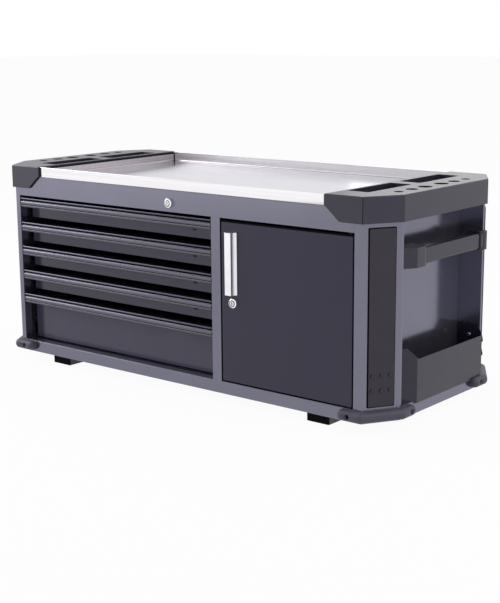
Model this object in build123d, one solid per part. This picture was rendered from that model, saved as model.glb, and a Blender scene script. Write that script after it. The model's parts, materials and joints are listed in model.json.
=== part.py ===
from build123d import *
import math
import os

os.makedirs("parts", exist_ok=True)

# A low tool chest: a folded steel carcass on two skids, five drawers on telescopic slides, a hinged door,
# a bright steel top tray between two moulded end caps, and grab bars and open bins in the end recesses.
# Millimetres, +Z up, +X along the chest, front towards -Y, origin on the floor under the middle.

# Plan of the chest over its end caps
cap_length = 1200.0
cap_depth = 516.0
corner_cut_x = 51.0
corner_cut_y = 82.0
cap_overhang = 6.0

# Stack of heights from the floor
skid_drop = 26.0
base_height = 29.5
bay_height = 384.5
rail_height = 52.0
tray_height = 25.0
cap_rise = 1.0

# Sheet metal, and the one overrun that all cuts share
sheet = 1.5
drawer_sheet = 1.2
overrun = 2.0

# Front frame: stiles, divider, and how far their folded returns reach back
left_stile = 14.7
right_stile = 20.2
stile_return = 24.0
divider_width = 27.0
divider_centre = 140.5

# Recess in each end, between the corner posts
recess_depth = 59.0
post_end_strip = 6.3

# Drawers
drawer_count = 5
drawer_pitch = 63.5
lip_drop = 6.5
box_clear = 3.5
face_recess = 32.0
rear_space = 27.0

# Pull lip along the top of each drawer front
lip_height = 24.0
lip_wall = 4.5
lip_sheet = 2.0
lip_seat = 10.0
lip_gap = 2.0
lip_curl = 3.5
lip_arc_shares = ((0.55, 0.0), (0.0, 0.10), (0.55, 0.20), (0.66, 0.30), (0.22, 0.41), (0.0, 0.57),
                  (0.18, 0.72))
lip_line_shares = ((0.45, 0.765), (0.18, 0.81), (0.18, 0.95), (0.40, 1.0))

# Telescopic slides: cabinet rail, carrier and runner nested in one another
slide_space = 12.7
slide_height = 35.0
slide_sheet = 1.2
slide_running = 0.5
slide_carrier_offset = 3.0
slide_runner_offset = 5.2
slide_lip_setback = 1.2
slide_rise = 24.0
slide_end_gap = 2.0

# Skids under the base
skid_width = 60.0
skid_wall = 3.0
skid_inset = 183.0
skid_setback = 20.0
plug_face = 3.0
plug_tongue = 12.0
plug_clear = 0.2

# Top tray
tray_sheet = 1.5
tray_rim = 4.0
tray_end_gap = 1.5
tray_end_drop = 6.0

# Moulded end caps with tool slots and tool holes
cap_width = 150.0
cap_wall = 3.0
cap_skirt = 57.5
cap_front_cut = 40.0
cap_edge_round = 2.0
slot_margin = 10.0
slot_width = 56.0
slot_length_share = 0.3333
slot_middle_gap = 33.0
slot_depth = 50.0
slot_round = 6.0
hole_inset = 39.0
hole_place_shares = (0.0659, 0.1705, 0.2713)
hole_diameters = (33.0, 28.0, 22.0)

# Corner trims with raised studs
trim_width_share = 0.6213
trim_foot_gap = 7.5
trim_past_bay = 9.0
trim_thickness = 3.0
trim_round = 3.0
stud_diameter = 9.0
stud_height = 3.0
stud_column_pitch_share = 0.35
stud_row_rises = (35.0, 68.0)

# Corner bumpers
bumper_depth = 18.0
bumper_rise = 4.0
bumper_below_deck = 1.5
bumper_front_leg = 55.5
bumper_side_leg = 46.5
bumper_plan_round = 13.0
bumper_edge_round = 11.0
bumper_front_screw = 31.0
bumper_side_screw = 23.0

# Pan-head screws that hold the bumpers and the bins
screw_head_diameter = 9.0
screw_head_height = 3.0
screw_shank_diameter = 4.0
screw_sink = 8.0
screw_sink_clear = 2.5

# Grab bars in the end recesses
grab_rise_share = 0.791
grab_height = 36.0
grab_thickness = 16.0
grab_proud = 9.0
grab_round = 5.0
grab_socket = 10.0
bracket_margin = 3.6
bracket_height = 44.0
bracket_proud = 11.0
bracket_depth = 44.0
bracket_slant_out = 24.0
bracket_slant_length = 37.0
bracket_front_length = 82.0
bracket_rear_length = 22.0
bracket_nose_round = 16.0

# Open bins at the foot of the end recesses
bin_proud = 5.0
bin_facet = 55.0
bin_lap = 4.5
bin_face_rise = 94.5
bin_end_rise = 120.5
bin_slope = 24.0
bin_slope_past_fold = 4.0
bin_rear_cut_width = 11.0
bin_rear_cut_height = 20.0
bin_bumper_clear = 0.5
bin_screw_rise = 93.5
bin_screw_reach = 32.0

# Door and its pivot pins
door_gap = 3.5
door_hinge_gap = 4.0
door_top_gap = 5.0
door_foot_gap = 4.0
door_thickness = 20.0
door_edge_round = 2.5
pivot_inset = 8.0
pivot_diameter = 6.0
pivot_depth = 12.0
pivot_tail = 6.0
pivot_running = 0.05
pivot_collar_diameter = 12.0
pivot_collar_clear = 0.3

# Bar handle on the door
handle_inset = 25.8
handle_width = 24.5
handle_rise = 210.5
handle_length = 144.0
handle_depth = 16.0
handle_foot_width = 6.0
handle_foot_depth = 7.0
handle_foot_edge = 1.0
handle_round = 1.5

# Cam locks: one for the drawers in the top rail, one in the door
lock_face_diameter = 22.5
lock_face_height = 8.5
lock_body_diameter = 18.0
lock_body_length = 25.0
lock_plug_diameter = 12.0
lock_plug_running = 0.05
lock_plug_proud = 0.5
lock_plug_tail = 1.0
key_slot_width = 1.4
key_slot_height = 8.0
key_slot_depth = 4.0
drawer_lock_x = 0.0
drawer_lock_rise = 21.0
door_lock_inset = 41.0
door_lock_rise = 191.5
cam_width = 14.0
cam_length = 55.0
cam_thickness = 3.0

# Lock bar behind the drawers, worked by a rod and crank from the drawer lock
rod_diameter = 8.0
crank_radius = 10.0
crank_width = 10.0
crank_thickness = 3.0
crank_angle = 45.0
crank_pin_diameter = 4.0
crank_slot_clear = 0.6
bar_half_width = 10.0
bar_thickness = 3.0
bar_stand_off = 3.0
bar_head_height = 10.0
bar_head_margin = 4.0
bar_foot = 12.0
catch_inner_edge = 18.0
catch_width = 14.0
catch_rise = 12.0
catch_reach = 11.5
catch_tip_height = 16.0
catch_flange = 8.0
finger_height = 6.0
finger_clear = 2.0
finger_past_catch = 2.0
guide_height = 10.0
guide_wall = 3.5
guide_front_wall = 1.2
guide_clear = 0.3
guided_fingers = (2, 4)

# Levels and planes worked out from the sizes above
base_bottom = skid_drop
deck_top = base_bottom + base_height
deck_under = deck_top - sheet
bay_top = deck_top + bay_height
carcass_top = bay_top + rail_height
top_deck_under = carcass_top - sheet
tray_top = carcass_top + tray_height
cap_top = tray_top + cap_rise
cap_under = cap_top - cap_wall
corner_cut = math.hypot(corner_cut_x, corner_cut_y)
trim_low = deck_top + trim_foot_gap
trim_high = bay_top + trim_past_bay
trim_width = corner_cut * trim_width_share
bumper_low = base_bottom + bumper_rise
bumper_high = deck_top - bumper_below_deck
grab_low = deck_top + bay_height * grab_rise_share
bracket_low = grab_low - bracket_margin
bin_face_low = deck_top - bin_lap
bin_face_high = deck_top + bin_face_rise
bin_end_high = deck_top + bin_end_rise
bin_screw_height = deck_top + bin_screw_rise
handle_low = deck_top + handle_rise
handle_high = handle_low + handle_length
drawer_lock_z = bay_top + drawer_lock_rise
door_lock_z = deck_top + door_lock_rise
slot_length = cap_depth * slot_length_share


def half_length(inset):
    """Half the chest's length at a plan outline set in from the cap's."""
    return cap_length / 2 - inset


def half_depth(inset):
    """Half the chest's depth at a plan outline set in from the cap's."""
    return cap_depth / 2 - inset


def corner_x(inset):
    """X where the front or rear face meets the corner cut."""
    return cap_length / 2 - corner_cut_x - inset * (corner_cut - corner_cut_x) / corner_cut_y


def corner_y(inset):
    """Y where the end face meets the corner cut."""
    return cap_depth / 2 - corner_cut_y - inset * (corner_cut - corner_cut_y) / corner_cut_x


body_x = half_length(cap_overhang)
body_y = half_depth(cap_overhang)
body_corner_x = corner_x(cap_overhang)
body_corner_y = corner_y(cap_overhang)
inner_y = body_y - sheet
return_y = body_y - stile_return
bay_left = -(body_corner_x - left_stile)
door_right_edge = body_corner_x - right_stile
divider_left = divider_centre - divider_width / 2
divider_right = divider_centre + divider_width / 2
end_wall = body_x - recess_depth
end_wall_inner = end_wall - sheet
face_y = -(body_y - face_recess)
drawer_back = body_y - rear_space
drawer_left = -end_wall_inner + slide_space
drawer_right = divider_left - slide_space
slide_front = face_y + slide_end_gap
slide_back = drawer_back - slide_end_gap
cap_inner = half_length(cap_width)
slot_inner_edge = cap_inner + slot_margin
hole_line = half_length(hole_inset)
skid_centre = half_length(skid_inset)
recess_half = body_corner_y - post_end_strip
bumper_front_end = body_corner_x - bumper_front_leg
bumper_side_end = body_corner_y - bumper_side_leg
grab_outer = body_x + grab_proud
bracket_outer = body_x + bracket_proud
bin_outer = body_x + bin_proud
bin_fold = recess_half - bin_facet
bin_screw_line = end_wall + bin_screw_reach
handle_left = divider_right + handle_inset
door_lock_x = divider_right + door_lock_inset
bar_front = drawer_back + bar_stand_off
bar_back = bar_front + bar_thickness
BASE = (Align.CENTER, Align.CENTER, Align.MIN)


def block(x0, x1, y0, y1, z0, z1):
    """A box between two corners."""
    return Pos((x0 + x1) / 2, (y0 + y1) / 2, (z0 + z1) / 2) * Box(x1 - x0, y1 - y0, z1 - z0)


def upright(outline, z0, z1):
    """A plan outline drawn up from z0 to z1."""
    face = make_face(Polyline(*[(x, y, z0) for x, y in outline], close=True))
    return extrude(face, amount=z1 - z0, dir=(0, 0, 1))


def along_x(outline, x0, x1):
    """A (y, z) outline drawn along X."""
    face = make_face(Polyline(*[(x0, y, z) for y, z in outline], close=True))
    return extrude(face, amount=x1 - x0, dir=(1, 0, 0))


def along_y(outline, y0, y1):
    """An (x, z) outline drawn along Y."""
    face = make_face(Polyline(*[(x, y0, z) for x, z in outline], close=True))
    return extrude(face, amount=y1 - y0, dir=(0, 1, 0))


def pin_y(diameter, x, z, y0, y1):
    """A round pin along Y."""
    return Pos(x, y0, z) * Rot(-90, 0, 0) * Cylinder(diameter / 2, y1 - y0, align=BASE)


def pin_z(diameter, x, y, z0, z1):
    """A round upright pin."""
    return Pos(x, y, z0) * Cylinder(diameter / 2, z1 - z0, align=BASE)


def sheet_outline(path, thickness):
    """Outline of a bent sheet: the path, and the path offset to its left with mitred corners."""
    normals = []
    for (x0, y0), (x1, y1) in zip(path, path[1:]):
        run = math.hypot(x1 - x0, y1 - y0)
        normals.append((-(y1 - y0) / run, (x1 - x0) / run))
    offset = []
    for i, (x, y) in enumerate(path):
        before = normals[max(i - 1, 0)]
        after = normals[min(i, len(normals) - 1)]
        mitre = thickness / (1 + before[0] * after[0] + before[1] * after[1])
        offset.append((x + mitre * (before[0] + after[0]), y + mitre * (before[1] + after[1])))
    return list(path) + offset[::-1]


def octagon(inset):
    """The chest's plan outline, set in from the cap's."""
    x = half_length(inset)
    y = half_depth(inset)
    cx = corner_x(inset)
    cy = corner_y(inset)
    return [(cx, -y), (x, -cy), (x, cy), (cx, y), (-cx, y), (-x, cy), (-x, -cy), (-cx, -y)]


def to_left(part):
    """The same piece for the other end of the chest."""
    return mirror(part, about=Plane.YZ)


def to_rear(part):
    """The same piece for the rear of the chest."""
    return mirror(part, about=Plane.XZ)


def four_corners(part):
    """A front right piece and its three mirror images."""
    right = [part, to_rear(part)]
    return Compound(right + [to_left(piece) for piece in right])


# Base and carcass


def pivot_place():
    """Plan place of the door's pivot axis."""
    return door_right_edge - door_hinge_gap - pivot_inset, -body_y + pivot_inset


def base_deck():
    """Octagonal floor sheet of the carcass, with the hole for the door's lower pivot."""
    x, y = pivot_place()
    deck = upright(octagon(cap_overhang), deck_under, deck_top)
    return deck - pin_z(pivot_diameter, x, y, deck_under - overrun, deck_top + overrun)


def base_skirt():
    """Eight flat strips that stand under the edge of the floor sheet, mitred where they meet."""
    outer = octagon(cap_overhang)
    inner = octagon(cap_overhang + sheet)
    strips = []
    for i in range(len(outer)):
        j = (i + 1) % len(outer)
        strips.append(upright([outer[i], outer[j], inner[j], inner[i]], base_bottom, deck_under))
    return Compound(strips)


def skid():
    """Square tube that carries the base, open at both ends for its plugs."""
    end = body_y - skid_setback - plug_face
    left = skid_centre - skid_width / 2
    right = skid_centre + skid_width / 2
    tube = block(left, right, -end, end, 0, deck_under)
    return tube - block(left + skid_wall, right - skid_wall, -end - overrun, end + overrun,
                        skid_wall, deck_under - skid_wall)


def skid_plug():
    """Moulded plug in the front end of a skid: a flat face and a tongue inside the tube."""
    front = -(body_y - skid_setback)
    seat = front + plug_face
    half = skid_width / 2
    inside = skid_wall + plug_clear
    face = block(skid_centre - half, skid_centre + half, front, seat, 0, deck_under)
    tongue = block(skid_centre - half + inside, skid_centre + half - inside, seat, seat + plug_tongue,
                   inside, deck_under - inside)
    return face + tongue


def corner_post(stile):
    """Front right corner post: stile with its return, corner face, end strip and recess wall."""
    edge = body_corner_x - stile
    path = [(edge, -return_y), (edge, -body_y), (body_corner_x, -body_y), (body_x, -body_corner_y),
            (body_x, -recess_half), (end_wall, -recess_half)]
    return upright(sheet_outline(path, sheet), deck_top, cap_under)


def end_panel():
    """Flat wall at the back of the right end recess, which also closes the carcass."""
    return block(end_wall_inner, end_wall, -inner_y, inner_y, deck_top, cap_under)


def guide_slot(z):
    """Clearance for the lock bar through one guide."""
    side = bar_half_width + guide_clear
    return block(-side, side, bar_front - guide_clear, bar_back + guide_clear,
                 z - guide_height, z + guide_height)


def back_panel():
    """Flat rear sheet between the rear posts, with two welded guides for the lock bar."""
    edge = body_corner_x - left_stile
    panel = block(-edge, edge, inner_y, body_y, deck_top, top_deck_under)
    side = bar_half_width + guide_clear + guide_wall
    front = bar_front - guide_clear - guide_front_wall
    for k in guided_fingers:
        z = guide_place(k)
        guide = block(-side, side, front, inner_y, z - guide_height / 2, z + guide_height / 2)
        panel = panel + (guide - guide_slot(z))
    return panel


def divider_post():
    """Folded upright between the drawers and the door."""
    path = [(divider_left, -return_y), (divider_left, -body_y), (divider_right, -body_y),
            (divider_right, -return_y)]
    return upright(sheet_outline(path, sheet), deck_top, bay_top)


def partition_panel():
    """Flat wall behind the divider, which carries the right-hand slides."""
    return block(divider_left, divider_left + sheet, -return_y, inner_y, deck_top, top_deck_under)


def front_top_rail():
    """Folded rail over the drawers and the door, with holes for the drawer lock and the upper pivot."""
    path = [(-return_y, bay_top), (-body_y, bay_top), (-body_y, top_deck_under), (-return_y, top_deck_under)]
    outline = sheet_outline(path, -sheet)
    rail = along_x(outline, bay_left, door_right_edge)
    x, y = pivot_place()
    rail = rail - pin_y(lock_body_diameter, drawer_lock_x, drawer_lock_z,
                        -body_y - overrun, -inner_y + overrun)
    return rail - pin_z(pivot_diameter, x, y, bay_top - overrun, bay_top + sheet + overrun)


def top_deck():
    """Flat sheet under the top tray, resting on the rail, the partition and the back panel."""
    return block(-cap_inner, cap_inner, -body_y, body_y, top_deck_under, carcass_top)


# Top tray and end caps


def top_tray():
    """Bright steel tray with hemmed rims; its end walls stand a little lower than its front and back."""
    end = cap_inner - tray_end_gap
    tray = block(-end, end, -body_y, body_y, carcass_top, tray_top)
    tray = tray - block(-end + tray_rim, end - tray_rim, -body_y + tray_rim, body_y - tray_rim,
                        carcass_top + tray_sheet, tray_top + overrun)
    end_top = tray_top - tray_end_drop
    inside = body_y - tray_rim
    for side in (-1, 1):
        outer = side * (end + overrun)
        inner = side * (end - tray_rim - overrun)
        tray = tray - block(min(outer, inner), max(outer, inner), -inside, inside,
                            end_top, tray_top + overrun)
    return tray


def cap_outline(inset):
    """Plan outline of the right cap's outside, or of its inside when set in."""
    x = half_length(inset)
    y = half_depth(inset)
    cx = corner_x(inset)
    cy = corner_y(inset)
    inner = cap_inner + inset
    return [(inner, -y), (cx, -y), (x, -cy), (x, cy), (cx, y), (inner, y)]


def slot_span(end):
    """The low and high Y of a tool slot, towards the front (-1) or the rear (1)."""
    near = end * slot_middle_gap / 2
    far = end * (slot_middle_gap / 2 + slot_length)
    return min(near, far), max(near, far)


def rounded_well(x0, x1, y0, y1, z0, z1, radius):
    """A box with rounded upright edges."""
    well = block(x0, x1, y0, y1, z0, z1)
    return fillet(well.edges().filter_by(Axis.Z), radius)


def end_cap():
    """Right end cap: a hollow moulding with a skirt, two closed tool slots and a row of tool holes."""
    low = cap_top - cap_skirt
    cap = upright(cap_outline(0), low, cap_top)
    cap = chamfer(cap.faces().sort_by(Axis.Z)[-1].edges(), cap_edge_round)
    cap = cap - upright(cap_outline(cap_wall), low - overrun, cap_under)
    below = low - overrun
    slope_foot = cap_inner + cap_front_cut
    corner = [(cap_inner - overrun, below), (slope_foot, below), (slope_foot, low),
              (cap_inner + cap_wall, carcass_top), (cap_inner - overrun, carcass_top)]
    cap = cap - along_y(corner, -cap_depth, cap_depth)
    x0 = slot_inner_edge
    x1 = slot_inner_edge + slot_width
    floor = cap_top - slot_depth
    for end in (-1, 1):
        y0, y1 = slot_span(end)
        cap = cap + rounded_well(x0 - cap_wall, x1 + cap_wall, y0 - cap_wall, y1 + cap_wall,
                                 floor - cap_wall, cap_under, slot_round + cap_wall)
        cap = cap - rounded_well(x0, x1, y0, y1, floor, cap_top + overrun, slot_round)
        for share, diameter in zip(hole_place_shares, hole_diameters):
            y = end * cap_depth * share
            cap = cap - pin_z(diameter, hole_line, y, cap_under - overrun, cap_top + overrun)
    return cap


# Corner trims and bumpers


def corner_plane():
    """Plane on the front right corner face: x along it, y up, z outwards, with its origin at floor level."""
    middle_x = (body_corner_x + body_x) / 2
    middle_y = -(body_y + body_corner_y) / 2
    return Plane(origin=(middle_x, middle_y, 0), x_dir=(corner_cut_x, corner_cut_y, 0),
                 z_dir=(corner_cut_y, -corner_cut_x, 0))


def corner_trim():
    """Moulded strip on a corner face, with two rows of raised studs near its foot."""
    middle = (trim_low + trim_high) / 2
    strip = Pos(0, middle, trim_thickness / 2) * Box(trim_width, trim_high - trim_low, trim_thickness)
    strip = fillet(strip.edges().filter_by(Axis.Z), trim_round)
    pitch = trim_width * stud_column_pitch_share
    for rise in stud_row_rises:
        for column in (-1, 0, 1):
            stud = Cylinder(stud_diameter / 2, stud_height, align=BASE)
            stud = chamfer(stud.faces().sort_by(Axis.Z)[-1].edges(), stud_height / 3)
            strip = strip + Pos(column * pitch, trim_low + rise, trim_thickness) * stud
    return corner_plane() * strip


def outside_body(point):
    """How far a point lies outside the carcass at the front right corner."""
    cut = (corner_cut_y * (point.X - body_corner_x) - corner_cut_x * (point.Y + body_y)) / corner_cut
    return max(cut, point.X - body_x, -body_y - point.Y)


def bumper():
    """Front right corner bumper: a thick rounded moulding, with a sunk screw in each leg."""
    inner = [(bumper_front_end, -body_y), (body_corner_x, -body_y), (body_x, -body_corner_y),
             (body_x, -bumper_side_end)]
    outer = sheet_outline(inner, -bumper_depth)[len(inner):][::-1]
    rounded = FilletPolyline(inner[0], *outer, inner[-1], radius=bumper_plan_round)
    face = make_face([rounded, Polyline(*inner)])
    part = extrude(Pos(0, 0, bumper_low) * face, amount=bumper_high - bumper_low, dir=(0, 0, 1))
    by_height = part.faces().sort_by(Axis.Z)
    rims = by_height[0].edges() + by_height[-1].edges()
    part = fillet([edge for edge in rims if outside_body(edge.center()) > overrun / 2], bumper_edge_round)
    for place, turn in bumper_screw_places():
        sink = Cylinder((screw_head_diameter + screw_sink_clear) / 2, bumper_depth, align=BASE)
        sink = Pos(0, 0, bumper_depth - screw_sink) * sink
        part = part - place * turn * (sink + Cylinder(screw_shank_diameter / 2, bumper_depth, align=BASE))
    return part


def bumper_screw_places():
    """Where the two screws of a front right bumper meet the carcass, with the turn that points them out."""
    middle = (bumper_low + bumper_high) / 2
    return [(Pos(bumper_front_end + bumper_front_screw, -body_y, middle), Rot(90, 0, 0)),
            (Pos(body_x, -bumper_side_end - bumper_side_screw, middle), Rot(0, 90, 0))]


def screw(shank_length):
    """Pan-head screw on the Z axis, with its shank up to the underside of its head at shank_length."""
    shank = Cylinder(screw_shank_diameter / 2, shank_length, align=BASE)
    head = Cylinder(screw_head_diameter / 2, screw_head_height, align=BASE)
    head = fillet(head.faces().sort_by(Axis.Z)[-1].edges(), screw_head_height / 2)
    return shank + Pos(0, 0, shank_length) * head


def bumper_screws():
    """The two screws of a front right bumper."""
    return [place * turn * screw(bumper_depth - screw_sink) for place, turn in bumper_screw_places()]


# Grab bars and bins in the end recesses


def bracket_span(end):
    """The Y of a bracket's wall face and of its nose, at the front (-1) or the rear (1)."""
    length = bracket_front_length if end < 0 else bracket_rear_length
    return end * recess_half, end * (recess_half - length)


def grab_bar():
    """Right grab bar: a rounded flat bar let into its two brackets."""
    front = bracket_span(-1)[1] - grab_socket
    rear = bracket_span(1)[1] + grab_socket
    bar = block(grab_outer - grab_thickness, grab_outer, front, rear, grab_low, grab_low + grab_height)
    return fillet(bar.edges().filter_by(Axis.Y), grab_round)


def grab_bracket(end):
    """Moulded end of the right grab bar, fixed to the post and rounded where the bar leaves it.

    The front one is long and slants outwards from the post.
    """
    wall, nose = bracket_span(end)
    inner = bracket_outer - bracket_depth
    outline = [(inner, wall), (bracket_outer, wall), (bracket_outer, nose), (inner, nose)]
    if end < 0:
        outline[1:2] = [(bracket_outer - bracket_slant_out, wall),
                        (bracket_outer, wall + bracket_slant_length)]
    bracket = upright(outline, bracket_low, bracket_low + bracket_height)
    nose_edges = [e for e in bracket.edges().filter_by(Axis.Z) if abs(e.center().Y - nose) < overrun]
    nose_edge = max(nose_edges, key=lambda edge: edge.center().X)
    bracket = fillet(nose_edge, bracket_nose_round)
    return bracket - grab_bar()


def bin_path():
    """Plan path of the right bin's sheet: front end plate, slanted facet, outer face, rear end plate."""
    run = (recess_half - bin_fold) * corner_cut_x / corner_cut_y
    return [(end_wall, -recess_half), (bin_outer - run, -recess_half), (bin_outer, -bin_fold),
            (bin_outer, recess_half), (end_wall, recess_half)]


def bin_front_screw_line():
    """X of the front screw, in the middle of the short front end plate."""
    return (bin_path()[0][0] + bin_path()[1][0]) / 2


def bin_walls():
    """Folded walls of the right bin, with the outer face cut down between its taller ends."""
    walls = upright(sheet_outline(bin_path(), sheet), bin_face_low, bin_end_high)
    above = bin_end_high + overrun
    slope_end = -bin_fold + bin_slope_past_fold
    slope_start = slope_end - bin_slope - (above - bin_end_high)
    mouth = [(slope_start, above), (slope_end, bin_face_high), (recess_half - sheet, bin_face_high),
             (recess_half - sheet, above)]
    walls = walls - along_x(mouth, end_wall + sheet, bin_outer + overrun)
    cut_low = bin_end_high - bin_rear_cut_height
    ear_edge = bin_outer - bin_rear_cut_width
    ear = [(ear_edge, bin_end_high), (bin_outer, cut_low), (bin_outer + overrun, cut_low),
           (bin_outer + overrun, above), (ear_edge, above)]
    return walls - along_y(ear, recess_half - sheet - overrun, recess_half + overrun)


def side_bin():
    """Right bin: folded walls and a floor; its outer face laps over the base and is notched at the bumper."""
    inside = sheet_outline(bin_path(), sheet)[len(bin_path()):]
    floor = upright(inside, deck_top, deck_top + sheet)
    part = floor + bin_walls() - upright(octagon(cap_overhang), bin_face_low - overrun, deck_top)
    part = part - block(body_x, bin_outer + overrun,
                        bumper_side_end - bin_bumper_clear, recess_half + overrun,
                        bin_face_low - overrun, bumper_high + bin_bumper_clear)
    for end, line in ((-1, bin_front_screw_line()), (1, bin_screw_line)):
        part = part - pin_y(screw_shank_diameter, line, bin_screw_height,
                            end * recess_half - overrun, end * recess_half + overrun)
    return part


def bin_screws():
    """The two screws that hold the right bin to the posts, with their heads inside the bin."""
    rear = Pos(bin_screw_line, recess_half, bin_screw_height) * Rot(90, 0, 0) * screw(sheet)
    front = Pos(bin_front_screw_line(), -recess_half, bin_screw_height) * Rot(-90, 0, 0) * screw(sheet)
    return [rear, front]


# Drawers and their slides


def cell_top(k):
    """Top of the k-th drawer's share of the bay, counted from the top."""
    return bay_top - k * drawer_pitch


def lip_top(k):
    """Top of the k-th pull lip."""
    return cell_top(k) - lip_drop


def box_bottom(k):
    """Underside of the k-th drawer box; the last one reaches down to the floor sheet."""
    floor = deck_top if k == drawer_count - 1 else cell_top(k + 1)
    return floor + box_clear


def drawer_box(k):
    """Open folded box."""
    low = box_bottom(k)
    high = lip_top(k) - lip_sheet
    box = block(drawer_left, drawer_right, face_y, drawer_back, low, high)
    return box - block(drawer_left + drawer_sheet, drawer_right - drawer_sheet, face_y + drawer_sheet,
                       drawer_back - drawer_sheet, low + drawer_sheet, high + overrun)


def drawer_catch(k):
    """Hooked bracket welded to the back of the k-th drawer box, for the lock bar's finger."""
    low = box_bottom(k) + catch_rise
    high = low + drawer_sheet
    left = catch_inner_edge
    right = catch_inner_edge + catch_width
    back = drawer_back + catch_reach
    flange = block(left, right, drawer_back, drawer_back + drawer_sheet, low - catch_flange, high)
    shelf = block(left, right, drawer_back, back, low, high)
    tip = block(left, right, back - drawer_sheet, back, low, high + catch_tip_height)
    return flange + shelf + tip


def drawer_lip(k):
    """Pull lip: a flange on the drawer front that turns down into a moulded nose with a cove and a crease."""
    top = lip_top(k)
    front = -body_y
    x0 = bay_left + lip_gap
    x1 = divider_left - lip_gap

    def at(depth, drop):
        return (x0, front + depth, top - drop)

    arcs = [at(d * lip_wall, h * lip_height) for d, h in lip_arc_shares]
    lines = [at(d * lip_wall, h * lip_height) for d, h in lip_line_shares]
    seat = face_y + lip_seat - front
    curl = lip_wall + lip_curl
    inside = [at(curl, lip_height), at(curl, lip_height - lip_sheet), at(lip_wall, lip_height - lip_sheet),
              at(lip_wall, lip_sheet), at(seat, lip_sheet), at(seat, 0)]
    edges = [ThreePointArc(*arcs[0:3]), ThreePointArc(*arcs[2:5]), ThreePointArc(*arcs[4:7])]
    edges.append(Polyline(arcs[6], *lines, *inside, arcs[0]))
    return extrude(make_face(edges), amount=x1 - x0, dir=(1, 0, 0))


def slide_channel(wall, inwards, low_offset, high_offset, half_height, web_at_wall):
    """Outline of one slide member across the slide, in (x, z) about the slide's middle height."""
    near = wall + inwards * low_offset
    far = wall + inwards * high_offset
    web = near if web_at_wall else far
    tips = far if web_at_wall else near
    path = [(tips, -half_height), (web, -half_height), (web, half_height), (tips, half_height)]
    turned_left = (tips - web) < 0
    return sheet_outline(path, slide_sheet if turned_left else -slide_sheet)


def slide_pair(k, member):
    """Left and right members of the k-th drawer's slides: cabinet rail (0), carrier (1) or runner (2)."""
    middle = box_bottom(k) + slide_rise
    half_height = slide_height / 2 - member * (slide_sheet + slide_running)
    low_offset = (0, slide_carrier_offset, slide_runner_offset)[member]
    high_offset = slide_space if member == 2 else slide_space - slide_lip_setback
    pair = []
    for wall, inwards in ((-end_wall_inner, 1), (divider_left, -1)):
        outline = slide_channel(wall, inwards, low_offset, high_offset, half_height, member < 2)
        pair.append(along_y([(x, z + middle) for x, z in outline], slide_front, slide_back))
    return pair


# Door, locks and lock bar


def door_span():
    """Left and right edges, foot and head of the door."""
    return (divider_right + door_gap, door_right_edge - door_hinge_gap,
            deck_top + door_foot_gap, bay_top - door_top_gap)


def door_panel():
    """Hollow double-skinned door with a lock hole through it and pivot holes in its foot and head."""
    left, right, low, high = door_span()
    front = -body_y
    back = front + door_thickness
    x, y = pivot_place()
    hole = pivot_diameter + 2 * pivot_running
    boss = pivot_collar_diameter / 2
    door = fillet(block(left, right, front, back, low, high).edges().filter_by(Axis.Z), door_edge_round)
    hollow = block(left + sheet, right - sheet, front + sheet, back - sheet, low + sheet, high - sheet)
    for z0, z1 in ((low, low + pivot_depth + sheet), (high - pivot_depth - sheet, high)):
        hollow = hollow - block(x - boss, right, front, y + boss, z0, z1)
    lock_sleeve = pin_y(lock_body_diameter + 2 * sheet, door_lock_x, door_lock_z, front, back)
    door = door - (hollow - lock_sleeve)
    door = door - pin_y(lock_body_diameter, door_lock_x, door_lock_z, front - overrun, back + overrun)
    door = door - pin_z(hole, x, y, low - overrun, low + pivot_depth)
    return door - pin_z(hole, x, y, high - pivot_depth, high + overrun)


def hinge_pins():
    """Pivot pins fixed in the floor sheet and the top rail, with collars that carry and space the door."""
    left, right, low, high = door_span()
    x, y = pivot_place()
    foot = pin_z(pivot_diameter, x, y, deck_under, low + pivot_depth - overrun)
    foot = foot + pin_z(pivot_collar_diameter, x, y, deck_top, low - pivot_collar_clear)
    head = pin_z(pivot_diameter, x, y, high - pivot_depth + overrun, bay_top + pivot_tail)
    head = head + pin_z(pivot_collar_diameter, x, y, high + pivot_collar_clear, bay_top)
    return Compound([foot, head])


def door_handle():
    """Solid bright bar on the door: a flat front, and a slanted foot along its free side."""
    front = -body_y - handle_depth
    right = handle_left + handle_width
    side = right - handle_foot_width
    outline = [(handle_left, -body_y), (handle_left, front), (side, front),
               (side, -body_y - handle_foot_depth), (right, -body_y - handle_foot_edge), (right, -body_y)]
    bar = upright(outline, handle_low, handle_high)
    return fillet(bar.edges().filter_by(Axis.Z).sort_by(Axis.Y)[:2], handle_round)


def lock_barrel(x, z):
    """Lock barrel: a round face in front of the panel and a body through it, bored for the plug."""
    back = -body_y + lock_body_length
    face = pin_y(lock_face_diameter, x, z, -body_y - lock_face_height, -body_y)
    face = fillet(face.edges().sort_by(Axis.Y)[0], lock_face_height / 3)
    barrel = face + pin_y(lock_body_diameter, x, z, -body_y, back)
    bore = lock_plug_diameter + 2 * lock_plug_running
    return barrel - pin_y(bore, x, z, -body_y - lock_face_height - overrun, back + overrun)


def lock_plug(x, z):
    """Turning plug with a key slot in its face."""
    front = -body_y - lock_face_height - lock_plug_proud
    plug = pin_y(lock_plug_diameter, x, z, front, -body_y + lock_body_length + lock_plug_tail)
    return plug - block(x - key_slot_width / 2, x + key_slot_width / 2,
                        front - overrun, front + key_slot_depth,
                        z - key_slot_height / 2, z + key_slot_height / 2)


def door_lock_cam():
    """Flat cam on the back of the door's plug, hanging down when unlocked."""
    front = -body_y + lock_body_length + lock_plug_tail
    high = door_lock_z + cam_width / 2
    low = high - cam_length - cam_width / 2
    half = cam_width / 2
    cam = block(door_lock_x - half, door_lock_x + half, front, front + cam_thickness, low, high)
    return fillet(cam.edges().filter_by(Axis.Y), cam_width / 3)


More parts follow.
